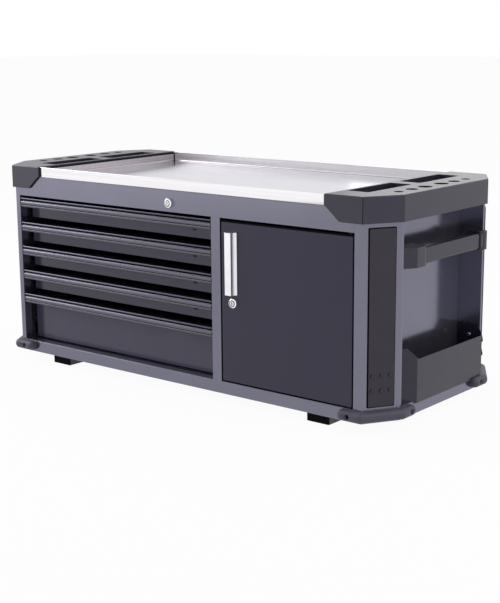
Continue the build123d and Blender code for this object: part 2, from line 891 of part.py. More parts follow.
def crank_pin_place():
    """Where the crank pin stands with the drawers unlocked."""
    angle = math.radians(crank_angle)
    return drawer_lock_x + crank_radius * math.cos(angle), drawer_lock_z + crank_radius * math.sin(angle)


def lock_rod():
    """Rod from the drawer lock to the rear, ending in a crank whose pin works the lock bar."""
    start = -body_y + lock_body_length + lock_plug_tail
    end = bar_front - bar_stand_off
    rod = pin_y(rod_diameter, drawer_lock_x, drawer_lock_z, start, end)
    arm = block(-crank_width / 2, crank_radius + crank_width / 2, end - crank_thickness, end,
                -crank_width / 2, crank_width / 2)
    arm = Pos(drawer_lock_x, 0, drawer_lock_z) * Rot(0, -crank_angle, 0) * arm
    x, z = crank_pin_place()
    return rod + arm + pin_y(crank_pin_diameter, x, z, end, bar_back + crank_slot_clear)


def finger_low(k):
    """Underside of the lock bar's finger over the k-th drawer's catch."""
    return box_bottom(k) + catch_rise + drawer_sheet + catch_tip_height + finger_clear


def guide_place(k):
    """Middle height of the lock bar guide above the k-th drawer's finger, clear of the bar's whole travel."""
    travel = 2 * crank_radius * math.sin(math.radians(crank_angle))
    return (finger_low(k) + finger_height + finger_low(k - 1) - travel) / 2


def lock_bar():
    """Flat upright bar with a finger over each drawer's catch and a slot for the crank pin."""
    x, z = crank_pin_place()
    half_slot = crank_pin_diameter / 2 + crank_slot_clear
    slot_right = drawer_lock_x + crank_radius + half_slot
    head = z + bar_head_height
    foot = finger_low(drawer_count - 1) - bar_foot
    bar = block(-bar_half_width, bar_half_width, bar_front, bar_back, foot, head)
    bar = bar + block(-bar_half_width, slot_right + bar_head_margin, bar_front, bar_back,
                      z - bar_head_height, head)
    reach = catch_inner_edge + catch_width + finger_past_catch
    for k in range(drawer_count):
        low = finger_low(k)
        bar = bar + block(0, reach, bar_front, bar_back, low, low + finger_height)
    return bar - block(x - half_slot, slot_right, bar_front - overrun, bar_back + overrun,
                       z - half_slot, z + half_slot)


# Every node of the chest, by name


corner_bumper = bumper()
screws_right = bumper_screws() + [to_rear(s) for s in bumper_screws()] + bin_screws()
skid_right = skid()
plug_right = skid_plug()
brackets_right = [grab_bracket(-1), grab_bracket(1)]
post_left = corner_post(left_stile)

nodes = {
    "base_deck": base_deck(),
    "base_skirt": base_skirt(),
    "skids": Compound([skid_right, to_left(skid_right)]),
    "skid_plugs": four_corners(plug_right),
    "corner_post_front_left": to_left(post_left),
    "corner_post_front_right": corner_post(right_stile),
    "corner_post_rear_left": to_rear(to_left(post_left)),
    "corner_post_rear_right": to_rear(post_left),
    "end_panel_left": to_left(end_panel()),
    "end_panel_right": end_panel(),
    "back_panel": back_panel(),
    "divider_post": divider_post(),
    "partition_panel": partition_panel(),
    "front_top_rail": front_top_rail(),
    "top_deck": top_deck(),
    "top_tray": top_tray(),
    "end_cap_left": to_left(end_cap()),
    "end_cap_right": end_cap(),
    "corner_trims": four_corners(corner_trim()),
    "bumper_front_left": to_left(corner_bumper),
    "bumper_front_right": corner_bumper,
    "bumper_rear_left": to_rear(to_left(corner_bumper)),
    "bumper_rear_right": to_rear(corner_bumper),
    "panel_screws": Compound(screws_right + [to_left(s) for s in screws_right]),
    "grab_bar_left": to_left(grab_bar()),
    "grab_bar_right": grab_bar(),
    "grab_brackets": Compound(brackets_right + [to_left(b) for b in brackets_right]),
    "side_bin_left": to_left(side_bin()),
    "side_bin_right": side_bin(),
    "slide_rails": Compound([rail for k in range(drawer_count) for rail in slide_pair(k, 0)]),
    "drawer_lock_barrel": lock_barrel(drawer_lock_x, drawer_lock_z),
    "drawer_lock_plug": lock_plug(drawer_lock_x, drawer_lock_z),
    "lock_rod": lock_rod(),
    "lock_bar": lock_bar(),
    "hinge_pins": hinge_pins(),
    "door_panel": door_panel(),
    "door_handle": door_handle(),
    "door_lock_barrel": lock_barrel(door_lock_x, door_lock_z),
    "door_lock_plug": lock_plug(door_lock_x, door_lock_z),
    "door_lock_cam": door_lock_cam(),
}
for k in range(drawer_count):
    nodes[f"drawer_{k + 1}"] = Compound([drawer_box(k), drawer_catch(k)])
    nodes[f"drawer_{k + 1}_lip"] = drawer_lip(k)
    nodes[f"drawer_{k + 1}_runners"] = Compound(slide_pair(k, 2))
    nodes[f"drawer_{k + 1}_carriers"] = Compound(slide_pair(k, 1))

for name, part in nodes.items():
    export_step(part, f"parts/{name}.step")
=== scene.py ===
import json
import math

import bmesh
import bpy
from mathutils import Matrix, Vector

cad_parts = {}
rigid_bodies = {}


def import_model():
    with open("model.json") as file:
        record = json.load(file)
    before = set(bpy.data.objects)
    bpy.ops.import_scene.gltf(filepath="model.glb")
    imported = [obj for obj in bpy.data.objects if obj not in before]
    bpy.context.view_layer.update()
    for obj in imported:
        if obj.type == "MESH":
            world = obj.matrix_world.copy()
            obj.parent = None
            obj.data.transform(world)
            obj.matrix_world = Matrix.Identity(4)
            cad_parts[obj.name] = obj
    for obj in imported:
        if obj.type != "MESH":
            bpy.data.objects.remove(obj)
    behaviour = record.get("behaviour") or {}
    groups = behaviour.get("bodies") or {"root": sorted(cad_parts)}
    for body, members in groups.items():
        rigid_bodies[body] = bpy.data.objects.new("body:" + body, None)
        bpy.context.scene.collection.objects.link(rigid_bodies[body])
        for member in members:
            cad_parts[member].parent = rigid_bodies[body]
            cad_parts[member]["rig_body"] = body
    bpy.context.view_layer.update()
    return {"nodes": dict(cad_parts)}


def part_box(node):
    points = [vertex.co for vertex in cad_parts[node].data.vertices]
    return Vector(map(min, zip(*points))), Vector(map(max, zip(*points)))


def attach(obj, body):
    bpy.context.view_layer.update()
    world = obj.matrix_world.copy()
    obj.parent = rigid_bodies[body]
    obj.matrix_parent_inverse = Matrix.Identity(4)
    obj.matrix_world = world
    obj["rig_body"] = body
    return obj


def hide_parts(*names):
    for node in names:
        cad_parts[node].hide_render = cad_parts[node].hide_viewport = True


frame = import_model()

MM = 0.001

# Base: an octagonal floor sheet with a folded skirt, welded to two square-tube skids.
# Steel under a powder coat, which rounds every cut edge: charcoal on the sheets and black on
# the tubes, whose ends are closed by black plastic plugs.

WELD = 0.001 * MM
FLAT = math.radians(0.5)
CREASE = math.radians(28)
ROUND_PROFILE = 0.5
EDGE_STEPS = 2
BOLD_EDGE_STEPS = 3
SHEET_EDGE = 0.5 * MM
PLUG_EDGE = 1.2 * MM
COOL_SHINE = (0.92, 0.90, 1.0, 1)
NOISE_LOW = 0.3
NOISE_HIGH = 0.7
PEEL_HEIGHT = 0.002 * MM
SKIN_HEIGHT = 0.02 * MM
SKIN_VARIATION = 0.04


def joined_facets(node):
    """The node's mesh with its flat facets joined into whole faces and no walls inside its welds."""
    work = bmesh.new()
    work.from_mesh(frame["nodes"][node].data)
    bmesh.ops.remove_doubles(work, verts=work.verts, dist=WELD)
    bmesh.ops.dissolve_limit(work, angle_limit=FLAT, verts=work.verts, edges=work.edges)
    inner = [face for face in work.faces if all(len(e.link_faces) > 2 for e in face.edges)]
    bmesh.ops.delete(work, geom=inner, context="FACES_ONLY")
    return work


def round_over(work, edges, radius, steps):
    """Rounds the given edges of a mesh."""
    bmesh.ops.bevel(work, geom=edges, offset=radius, offset_type="OFFSET", segments=steps,
                    profile=ROUND_PROFILE, affect="EDGES", clamp_overlap=True)


def ease_edges(work, radius, steps=EDGE_STEPS):
    """Rounds every sharp edge of a mesh and clears away what is left without a size."""
    sharp = [e for e in work.edges if len(e.link_faces) == 2 and e.calc_face_angle() > CREASE]
    round_over(work, sharp, radius, steps)
    bmesh.ops.remove_doubles(work, verts=work.verts, dist=WELD)
    bmesh.ops.dissolve_degenerate(work, dist=WELD, edges=work.edges)


def piece_from(work, name, body, finishes):
    """A smooth-shaded piece made from a mesh in the chest's own place, riding on a body."""
    for face in work.faces:
        face.smooth = True
    mesh = bpy.data.meshes.new(name)
    work.to_mesh(mesh)
    work.free()
    mesh.set_sharp_from_angle(angle=CREASE)
    piece = bpy.data.objects.new(name, mesh)
    bpy.context.scene.collection.objects.link(piece)
    for finish in finishes:
        mesh.materials.append(finish)
    shading = piece.modifiers.new("even_shading", "WEIGHTED_NORMAL")
    shading.keep_sharp = True
    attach(piece, body)
    return piece


def stand_in(work, node, finishes):
    """A piece made from a mesh that stands for a node, on the node's own body."""
    piece = piece_from(work, node + "_piece", frame["nodes"][node]["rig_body"], finishes)
    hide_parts(node)


def eased(node, finish, radius=0, steps=EDGE_STEPS):
    """Stands for a node with the same shape in a finish, its edges rounded unless they are already."""
    work = joined_facets(node)
    if radius > 0:
        ease_edges(work, radius, steps)
    stand_in(work, node, [finish])


def new_finish(name):
    """A new material with its node tree, its shader and the place that its patterns follow."""
    finish = bpy.data.materials.new(name)
    finish.use_nodes = True
    tree = finish.node_tree
    place = tree.nodes.new("ShaderNodeTexCoord").outputs["Object"]
    return finish, tree, tree.nodes["Principled BSDF"], place


def grain(tree, place, per_metre, detail, stretch=(1, 1, 1)):
    """A noise with so many grains to the metre, drawn out along an axis where stretch is small."""
    mapping = tree.nodes.new("ShaderNodeMapping")
    mapping.inputs["Scale"].default_value = stretch
    tree.links.new(place, mapping.inputs["Vector"])
    noise = tree.nodes.new("ShaderNodeTexNoise")
    noise.inputs["Scale"].default_value = per_metre
    noise.inputs["Detail"].default_value = detail
    tree.links.new(mapping.outputs["Vector"], noise.inputs["Vector"])
    return noise.outputs["Fac"]


def spread(tree, pattern, low, high, socket):
    """Varies a shader value between two numbers over a pattern."""
    span = tree.nodes.new("ShaderNodeMapRange")
    span.inputs["From Min"].default_value = NOISE_LOW
    span.inputs["From Max"].default_value = NOISE_HIGH
    span.inputs["To Min"].default_value = low
    span.inputs["To Max"].default_value = high
    tree.links.new(pattern, span.inputs["Value"])
    tree.links.new(span.outputs["Result"], socket)


def tones(tree, pattern, dark, light, socket):
    """Varies a colour between two tones over a pattern."""
    ramp = tree.nodes.new("ShaderNodeValToRGB")
    first, last = ramp.color_ramp.elements
    first.position = NOISE_LOW
    first.color = (*dark, 1)
    last.position = NOISE_HIGH
    last.color = (*light, 1)
    tree.links.new(pattern, ramp.inputs["Fac"])
    tree.links.new(ramp.outputs["Color"], socket)


def relief(tree, pattern, height, shader):
    """Lifts the surface by a pattern, so many metres from its lows to its highs."""
    bump = tree.nodes.new("ShaderNodeBump")
    bump.inputs["Distance"].default_value = height
    tree.links.new(pattern, bump.inputs["Height"])
    tree.links.new(bump.outputs["Normal"], shader.inputs["Normal"])


def powder_coat(name, dark, light, smooth, rough, flake):
    """Baked powder coat: an even colour with so much metal flake and a fine orange-peel skin."""
    finish, tree, shader, place = new_finish(name)
    shader.inputs["Metallic"].default_value = flake
    shader.inputs["Specular Tint"].default_value = COOL_SHINE
    clouds = grain(tree, place, per_metre=7, detail=3)
    haze = grain(tree, place, per_metre=60, detail=3)
    peel = grain(tree, place, per_metre=350, detail=1)
    tones(tree, clouds, dark, light, shader.inputs["Base Color"])
    spread(tree, haze, smooth, rough, shader.inputs["Roughness"])
    relief(tree, peel, PEEL_HEIGHT, shader)
    return finish


def moulded(name, dark, light, rough, shine):
    """Moulded plastic or rubber with a fine spark-eroded skin."""
    finish, tree, shader, place = new_finish(name)
    shader.inputs["Specular IOR Level"].default_value = shine
    shader.inputs["Specular Tint"].default_value = COOL_SHINE
    clouds = grain(tree, place, per_metre=25, detail=4)
    wear = grain(tree, place, per_metre=400, detail=2)
    skin = grain(tree, place, per_metre=1600, detail=2)
    tones(tree, clouds, dark, light, shader.inputs["Base Color"])
    spread(tree, wear, rough - SKIN_VARIATION, rough + SKIN_VARIATION, shader.inputs["Roughness"])
    relief(tree, skin, SKIN_HEIGHT, shader)
    return finish


charcoal = powder_coat("charcoal_powder_coat", dark=(0.176, 0.172, 0.222),
                       light=(0.188, 0.184, 0.236), smooth=0.14, rough=0.18, flake=0.82)
skid_black = powder_coat("skid_powder_coat", dark=(0.026, 0.025, 0.036),
                         light=(0.030, 0.029, 0.041), smooth=0.3, rough=0.36, flake=0.0)
plug_black = moulded("plug_black", dark=(0.002, 0.002, 0.0025), light=(0.004, 0.004, 0.005),
                     rough=0.6, shine=0.04)

for node in ("base_deck", "base_skirt"):
    eased(node, charcoal, SHEET_EDGE)
eased("skids", skid_black, SHEET_EDGE)
eased("skid_plugs", plug_black, PLUG_EDGE, BOLD_EDGE_STEPS)

# Carcass: four folded corner posts, end panels, back panel, rail, divider and partition.
# Thin sheet steel, spot-welded to the base, in the same charcoal powder coat.

CARCASS = ("corner_post_front_left", "corner_post_front_right", "corner_post_rear_left",
           "corner_post_rear_right", "end_panel_left", "end_panel_right", "back_panel",
           "divider_post", "partition_panel", "front_top_rail", "top_deck")
for node in CARCASS:
    eased(node, charcoal, SHEET_EDGE)

# Drawer slides: cabinet rails, carriers and runners rolled from thin strip.
# Zinc-plated steel under a black passivation, with a faint spangle.

DRAWER_COUNT = 5
DRAWERS = range(1, DRAWER_COUNT + 1)
STRIP_EDGE = 0.3 * MM
SPANGLE_HEIGHT = 0.008 * MM


def zinc_plate(name, dark, light, smooth, rough):
    """Zinc-plated steel: metal with a cloudy spangle."""
    finish, tree, shader, place = new_finish(name)
    shader.inputs["Metallic"].default_value = 1.0
    clouds = grain(tree, place, per_metre=90, detail=4)
    haze = grain(tree, place, per_metre=220, detail=3)
    spangle = grain(tree, place, per_metre=900, detail=2)
    tones(tree, clouds, dark, light, shader.inputs["Base Color"])
    spread(tree, haze, smooth, rough, shader.inputs["Roughness"])
    relief(tree, spangle, SPANGLE_HEIGHT, shader)
    return finish


black_zinc = zinc_plate("black_zinc", dark=(0.010, 0.010, 0.012), light=(0.022, 0.022, 0.025),
                        smooth=0.34, rough=0.46)

eased("slide_rails", black_zinc, STRIP_EDGE)
for k in DRAWERS:
    eased(f"drawer_{k}_runners", black_zinc, STRIP_EDGE)
    eased(f"drawer_{k}_carriers", black_zinc, STRIP_EDGE)

# Drawers: folded steel boxes in gloss black, whose fronts stand back behind a full-width pull lip.
# The lip is an extruded section, anodised black, with grooves; its top bead is painted darker and the
# front of its grooves near-black, both as painted shade.
# A ribbed rubber mat lies in each, and a small rubber stop sits under the lips of the shallow ones.

BOX_SHEET = 1.2 * MM
BOX_EDGE = 0.4 * MM
RIPPLE_HEIGHT = 0.004 * MM
LIP_WALL = 4.5 * MM
LIP_BEAD_SHARE = 0.15
LIP_GROOVE_SHARES = ((0.15, 0.36), (0.735, 0.8))
LIP_END_FACING = 0.5
MAT_CLEAR = 2.0 * MM
MAT_SKIN = 1.2 * MM
RIB_HEIGHT = 1.0 * MM
RIB_COUNT = 60
STOP_SIZE = (9.0 * MM, 2.5 * MM, 3.4 * MM)
STOP_FROM_EDGE = 62.0 * MM
STOP_BELOW_LIP = 9.0 * MM


def gloss_paint(name, dark, light, smooth, rough, shine=0.5, metal=0.0):
    """Gloss paint or a dyed skin on metal: a deep colour, smooth, with a long, faint ripple."""
    finish, tree, shader, place = new_finish(name)
    shader.inputs["Metallic"].default_value = metal
    shader.inputs["Specular IOR Level"].default_value = shine
    shader.inputs["Specular Tint"].default_value = COOL_SHINE
    clouds = grain(tree, place, per_metre=9, detail=3)
    haze = grain(tree, place, per_metre=40, detail=4)
    ripple = grain(tree, place, per_metre=40, detail=1)
    tones(tree, clouds, dark, light, shader.inputs["Base Color"])
    spread(tree, haze, smooth, rough, shader.inputs["Roughness"])
    relief(tree, ripple, RIPPLE_HEIGHT, shader)
    return finish


def corners(node):
    """The lowest and the highest corner of a node's box."""
    return [Vector(corner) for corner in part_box(node)]


def thicken(work, sheet, way):
    """Makes a closed solid of a single face by drawing it out along a vector."""
    grown = bmesh.ops.extrude_face_region(work, geom=[sheet])
    moved = [v for v in grown["geom"] if isinstance(v, bmesh.types.BMVert)]
    bmesh.ops.translate(work, verts=moved, vec=way)
    bmesh.ops.recalc_face_normals(work, faces=work.faces)


def ribbed_mat(low, high):
    """A flat mat between two plan corners, ribbed from side to side on its upper face."""
    pitch = (high.y - low.y) / RIB_COUNT
    skin = low.z + MAT_SKIN
    outline = [(low.y, low.z), (low.y, skin)]
    for i in range(RIB_COUNT):
        start = low.y + i * pitch
        outline.append((start + pitch / 4, skin))
        outline.append((start + pitch / 2, skin + RIB_HEIGHT))
        outline.append((start + pitch * 3 / 4, skin))
    outline += [(high.y, skin), (high.y, low.z)]
    work = bmesh.new()
    end = work.faces.new([work.verts.new((low.x, y, z)) for y, z in outline])
    thicken(work, end, (high.x - low.x, 0, 0))
    return work


def brick(low, high):
    """A plain box between two corners."""
    work = bmesh.new()
    bmesh.ops.create_cube(work, size=1.0)
    bmesh.ops.scale(work, verts=work.verts, vec=Vector(high) - Vector(low))
    bmesh.ops.translate(work, verts=work.verts, vec=(Vector(high) + Vector(low)) / 2)
    return work


drawer_black = gloss_paint("drawer_black", dark=(0.044, 0.041, 0.073), light=(0.048, 0.045, 0.078),
                           smooth=0.1, rough=0.13)
lip_black = gloss_paint("black_anodised", dark=(0.108, 0.104, 0.130), light=(0.119, 0.115, 0.142),
                        smooth=0.15, rough=0.19, metal=0.92)
# Painted shade: a darker copy of the lip's finish, for its top bead.
bead_painted_shade = gloss_paint("bead_painted_shade", dark=(0.068, 0.070, 0.095), light=(0.075, 0.077, 0.104),
                         smooth=0.15, rough=0.19, metal=0.92)
# Painted shade: near-black and almost unshining, for grooves, gaps and holes where shade falls.
painted_shade_black = moulded("painted_shade_black", dark=(0.002, 0.002, 0.003), light=(0.004, 0.004, 0.005),
                       rough=0.6, shine=0.03)
mat_rubber = moulded("mat_rubber", dark=(0.012, 0.012, 0.013), light=(0.02, 0.02, 0.021),
                     rough=0.6, shine=0.35)
LIP_FINISHES = [lip_black, bead_painted_shade, painted_shade_black]

for k in DRAWERS:
    drawer = f"drawer_{k}"
    eased(drawer, drawer_black, BOX_EDGE)

    lip = joined_facets(f"{drawer}_lip")
    ease_edges(lip, BOX_EDGE)
    lip_low, lip_high = corners(f"{drawer}_lip")
    for face in lip.faces:
        middle = face.calc_center_median()
        share = (lip_high.z - middle.z) / (lip_high.z - lip_low.z)
        in_groove = any(top < share < foot for top, foot in LIP_GROOVE_SHARES)
        at_front = middle.y < lip_low.y + LIP_WALL and abs(face.normal.x) < LIP_END_FACING
        # Painted shade: the top bead takes the darker copy, and the front of each groove the
        # near-black.
        if share < LIP_BEAD_SHARE:
            face.material_index = LIP_FINISHES.index(bead_painted_shade)
        elif in_groove and at_front:
            face.material_index = LIP_FINISHES.index(painted_shade_black)
    stand_in(lip, f"{drawer}_lip", LIP_FINISHES)

    low, high = corners(drawer)
    runner_end = corners(f"{drawer}_runners")[1].y
    inset = BOX_SHEET + MAT_CLEAR
    mat = ribbed_mat(low + Vector((inset, inset, BOX_SHEET)),
                     Vector((high.x - inset, runner_end - inset, high.z)))
    piece_from(mat, f"{drawer}_mat", drawer, [mat_rubber])

    if k < DRAWER_COUNT:
        width, depth, height = STOP_SIZE
        right = high.x - STOP_FROM_EDGE
        top = lip_low.z - STOP_BELOW_LIP
        stop = brick((right - width, low.y - depth, top - height), (right, low.y, top))
        ease_edges(stop, height / 3, BOLD_EDGE_STEPS)
        piece_from(stop, f"{drawer}_stop", drawer, [mat_rubber])

# Drawer lock and door lock: die-cast barrels in polished chrome with nickel-plated plugs. Round each
# plug a near-black ring is painted shade for its running gap, and a near-black brick in its face is
# painted shade for its key slot. The rod, crank, lock bar and cam behind them are zinc-plated steel.

LOCKS = (("drawer_lock", "cabinet"), ("door_lock", "door"))
LOCK_EDGE = 0.3 * MM
GAP_INNER = 6.3 * MM
GAP_OUTER = 8.1 * MM
GAP_SKIN = 0.15 * MM
GAP_STEPS = 48
KEY_SLOT_WIDTH = 2.2 * MM
KEY_SLOT_HEIGHT = 8.0 * MM


def bright_plate(name, dark, light, smooth, rough):
    """Polished or satin plating with a trace of handling haze."""
    finish, tree, shader, place = new_finish(name)
    shader.inputs["Metallic"].default_value = 1.0
    clouds = grain(tree, place, per_metre=50, detail=3)
    haze = grain(tree, place, per_metre=120, detail=4)
    tones(tree, clouds, dark, light, shader.inputs["Base Color"])
    spread(tree, haze, smooth, rough, shader.inputs["Roughness"])
    return finish


def turned(outline, axis):
    """A ring turned from an outline of (radius, y) points about a line along Y through a point."""
    work = bmesh.new()
    verts = [work.verts.new((axis.x + radius, y, axis.z)) for radius, y in outline]
    edges = [work.edges.new((a, b)) for a, b in zip(verts, verts[1:] + verts[:1])]
    bmesh.ops.spin(work, geom=verts + edges, cent=(axis.x, 0, axis.z), axis=(0, 1, 0),
                   angle=2 * math.pi, steps=GAP_STEPS)
    bmesh.ops.remove_doubles(work, verts=work.verts, dist=WELD)
    bmesh.ops.recalc_face_normals(work, faces=work.faces)
    return work


chrome = bright_plate("bright_chrome", dark=(0.86, 0.86, 0.87), light=(0.93, 0.93, 0.94),
                      smooth=0.06, rough=0.12)
plug_nickel = bright_plate("satin_nickel", dark=(0.72, 0.72, 0.75), light=(0.80, 0.80, 0.83),
                           smooth=0.16, rough=0.22)
bright_zinc = zinc_plate("bright_zinc", dark=(0.46, 0.46, 0.45), light=(0.62, 0.62, 0.6),
                         smooth=0.26, rough=0.4)
# Painted shade: near-black and almost unshining, for the running gaps and key slots.
lock_shadow = moulded("lock_gap_shade", dark=(0.003, 0.003, 0.003), light=(0.006, 0.006, 0.006),
                      rough=0.6, shine=0.03)

for lock, barrel_body in LOCKS:
    eased(f"{lock}_barrel", chrome, LOCK_EDGE)
    eased(f"{lock}_plug", plug_nickel, LOCK_EDGE)
    low, high = corners(f"{lock}_barrel")
    axis = (low + high) / 2
    front = low.y - GAP_SKIN
    rear = low.y + GAP_SKIN
    # Painted shade: a thin near-black ring on the barrel's face where the running gap is.
    gap_shade = turned([(GAP_INNER, front), (GAP_OUTER, front), (GAP_OUTER, rear), (GAP_INNER, rear)],
                 axis)
    piece_from(gap_shade, f"{lock}_gap", barrel_body, [lock_shadow])
    # Painted shade: a thin near-black brick on the plug's face where the key slot is.
    plug_face = Vector((axis.x, corners(f"{lock}_plug")[0].y, axis.z))
    reach = Vector((KEY_SLOT_WIDTH / 2, GAP_SKIN, KEY_SLOT_HEIGHT / 2))
    key_slot = brick(plug_face - reach, plug_face + reach)
    piece_from(key_slot, f"{lock}_key_slot", lock, [lock_shadow])
for node in ("lock_rod", "lock_bar", "door_lock_cam"):
    eased(node, bright_zinc, LOCK_EDGE)

# Door: a hollow double-skinned panel on two blackened pivot pins, in gloss black.
# Its satin chrome bar handle is screwed on from inside, with a cove between the bar and its foot.
# A near-black strip along its top edge is painted shade for the shadowed gap above the door.

DOOR_EDGE = 1.2 * MM
PIN_EDGE = 0.3 * MM
SHADE_STRIP_HEIGHT = 4.0 * MM
SHADE_STRIP_DEPTH = 3.0 * MM
SHADE_STRIP_SKIN = 0.3 * MM
HANDLE_EDGE = 0.4 * MM
HANDLE_COVE = 7.0 * MM
COVE_STEPS = 8

door_black = gloss_paint("gloss_black", dark=(0.0140, 0.0108, 0.032), light=(0.0160, 0.0128, 0.036),
                         smooth=0.1, rough=0.13)
satin_chrome = bright_plate("satin_chrome", dark=(0.82, 0.82, 0.86), light=(0.87, 0.87, 0.91),
                            smooth=0.27, rough=0.33)

eased("door_panel", door_black, DOOR_EDGE, BOLD_EDGE_STEPS)
low, high = corners("door_panel")
# Painted shade: a near-black strip along the door's top edge, for the shadow in the gap above it.
shade_strip = brick((low.x + SHADE_STRIP_SKIN, low.y - SHADE_STRIP_SKIN, high.z - SHADE_STRIP_HEIGHT),
               (high.x - SHADE_STRIP_SKIN, low.y + SHADE_STRIP_DEPTH, high.z))
ease_edges(shade_strip, SHADE_STRIP_SKIN)
piece_from(shade_strip, "door_top_shade_strip", "door", [painted_shade_black])
eased("hinge_pins", black_zinc, PIN_EDGE)
handle = joined_facets("door_handle")
coves = [e for e in handle.edges if not e.is_convex and e.calc_face_angle() > CREASE]
round_over(handle, coves, HANDLE_COVE, COVE_STEPS)
ease_edges(handle, HANDLE_EDGE, BOLD_EDGE_STEPS)
stand_in(handle, "door_handle", [satin_chrome])

# Top tray: a pan folded from stainless sheet, hemmed along its rims, lying on the top deck.
# Its rims are polished, its floor and long walls are brushed lengthwise and its end walls across;
# the floor is toned darker and bluer and the end walls pinker, as painted reflection. A near-black
# strip by each end cap is painted shade for the shadowed gap there, and black seams fill the open
# corners inside.

ENDS = (("left", -1), ("right", 1))
ROWS = (("front", -1), ("rear", 1))
ALONG_X = (0.01, 1, 1)
ALONG_Y = (1, 0.01, 1)
FLOOR_SHEET = 3.0 * MM
RIM_WALL = 4.0 * MM
TRAY_EDGE = 0.8 * MM
FOLD_RADIUS = 2.5 * MM
FOLD_STEPS = 5
END_FACING = 0.3
LONG_FACING = 0.3
UP_FACING = 0.9
SHADE_SEAL_THICKNESS = 1.2 * MM
SHADE_SEAL_BELOW_RIM = 0.5 * MM
SHADE_SEAL_FOOT = 1.0 * MM
SEAM_REACH = 1.5 * MM
SEAM_BELOW_RIM = 6.0 * MM


def stainless(name, dark, light, smooth, rough, stretch):
    """Stainless steel with brushed lines along one axis."""
    finish, tree, shader, place = new_finish(name)
    shader.inputs["Metallic"].default_value = 1.0
    lines = grain(tree, place, per_metre=260, detail=5, stretch=stretch)
    tones(tree, lines, dark, light, shader.inputs["Base Color"])
    spread(tree, lines, smooth, rough, shader.inputs["Roughness"])
    return finish


# One stainless sheet in copies toned by which way their faces look: the floor darker and bluer than
# the rims and the end walls pinker, as painted reflection; the brushing and polish are its own.
tray_rims = stainless("stainless_rims", dark=(0.62, 0.605, 0.62), light=(0.68, 0.665, 0.68),
                      smooth=0.03, rough=0.05, stretch=ALONG_X)
tray_long = stainless("stainless_long_walls", dark=(0.51, 0.49, 0.51), light=(0.63, 0.61, 0.63),
                      smooth=0.26, rough=0.32, stretch=ALONG_X)
tray_ends = stainless("stainless_end_walls", dark=(0.50, 0.46, 0.49), light=(0.66, 0.615, 0.65),
                      smooth=0.26, rough=0.36, stretch=ALONG_Y)
tray_floor = stainless("stainless_floor", dark=(0.54, 0.535, 0.61), light=(0.58, 0.575, 0.65),
                       smooth=0.13, rough=0.17, stretch=ALONG_X)
# Near-black: painted shade in the gaps by the end caps and round the grab bars' rear ends, and the
# dark seams in the tray's inner corners.
seam_and_shade_black = moulded("seam_and_shade_black", dark=(0.002, 0.002, 0.002), light=(0.004, 0.004, 0.004),
                      rough=0.6, shine=0.2)
TRAY_FINISHES = [tray_rims, tray_long, tray_ends, tray_floor]

tray = joined_facets("top_tray")
low, high = corners("top_tray")
floor_top = low.z + FLOOR_SHEET
folds = [e for e in tray.edges if not e.is_convex and max(v.co.z for v in e.verts) < floor_top]
round_over(tray, folds, FOLD_RADIUS, FOLD_STEPS)
ease_edges(tray, TRAY_EDGE, BOLD_EDGE_STEPS)
for face in tray.faces:
    middle = face.calc_center_median()
    if abs(face.normal.x) > END_FACING:
        face.material_index = TRAY_FINISHES.index(tray_ends)
    elif face.normal.z > UP_FACING and middle.z < floor_top:
        face.material_index = TRAY_FINISHES.index(tray_floor)
    elif abs(face.normal.y) > LONG_FACING and face.normal.y * middle.y < 0:
        face.material_index = TRAY_FINISHES.index(tray_long)
stand_in(tray, "top_tray", TRAY_FINISHES)

for end, side in ENDS:
    # Painted shade: a near-black strip in the gap between the tray and each end cap.
    near, far = sorted((side * high.x, side * (high.x + SHADE_SEAL_THICKNESS)))
    shade_seal = brick((near, low.y, low.z + SHADE_SEAL_FOOT), (far, high.y, high.z - SHADE_SEAL_BELOW_RIM))
    ease_edges(shade_seal, SHADE_SEAL_THICKNESS / 3)
    piece_from(shade_seal, f"tray_shade_seal_{end}", "cabinet", [seam_and_shade_black])
    for row, across in ROWS:
        corner = Vector((side * (high.x - RIM_WALL), across * (high.y - RIM_WALL), 0))
        reach = Vector((SEAM_REACH, SEAM_REACH, 0))
        seam = brick(corner - reach + Vector((0, 0, floor_top)),
                     corner + reach + Vector((0, 0, high.z - SEAM_BELOW_RIM)))
        ease_edges(seam, SEAM_REACH / 3)
        piece_from(seam, f"tray_seam_{row}_{end}", "cabinet", [seam_and_shade_black])

# End caps: hollow mouldings with tool slots and tool holes, clipped over the ends of the top.
# Dark grey plastic with a fine matte skin; a dark bead runs down each crease of their fronts.

CAP_EDGE = 1.2 * MM
BEAD_RADIUS = 1.3 * MM
BEAD_SUNK = 0.8 * MM
BEAD_SIDES = 12

cap_grey = moulded("cap_grey", dark=(0.0190, 0.0170, 0.032), light=(0.0220, 0.0200, 0.036),
                   rough=0.34, shine=0.55)
crease_black = moulded("crease_black", dark=(0.004, 0.004, 0.005), light=(0.006, 0.006, 0.007),
                       rough=0.5, shine=0.3)

for end, side in ENDS:
    eased(f"end_cap_{end}", cap_grey, CAP_EDGE, BOLD_EDGE_STEPS)
    cap = joined_facets(f"end_cap_{end}")
    for row, across in ROWS:
        face_y = max(across * v.co.y for v in cap.verts)
        rim = [v.co for v in cap.verts if across * v.co.y > face_y - WELD]
        crease = side * max(side * place.x for place in rim)
        foot = min(place.z for place in rim)
        head = max(place.z for place in rim)
        bead = bmesh.new()
        bmesh.ops.create_cone(bead, cap_ends=True, segments=BEAD_SIDES, radius1=BEAD_RADIUS,
                              radius2=BEAD_RADIUS, depth=head - foot)
        bmesh.ops.translate(bead, verts=bead.verts,
                            vec=(crease, across * (face_y - BEAD_SUNK), (foot + head) / 2))
        piece_from(bead, f"cap_crease_{row}_{end}", "cabinet", [crease_black])
    cap.free()

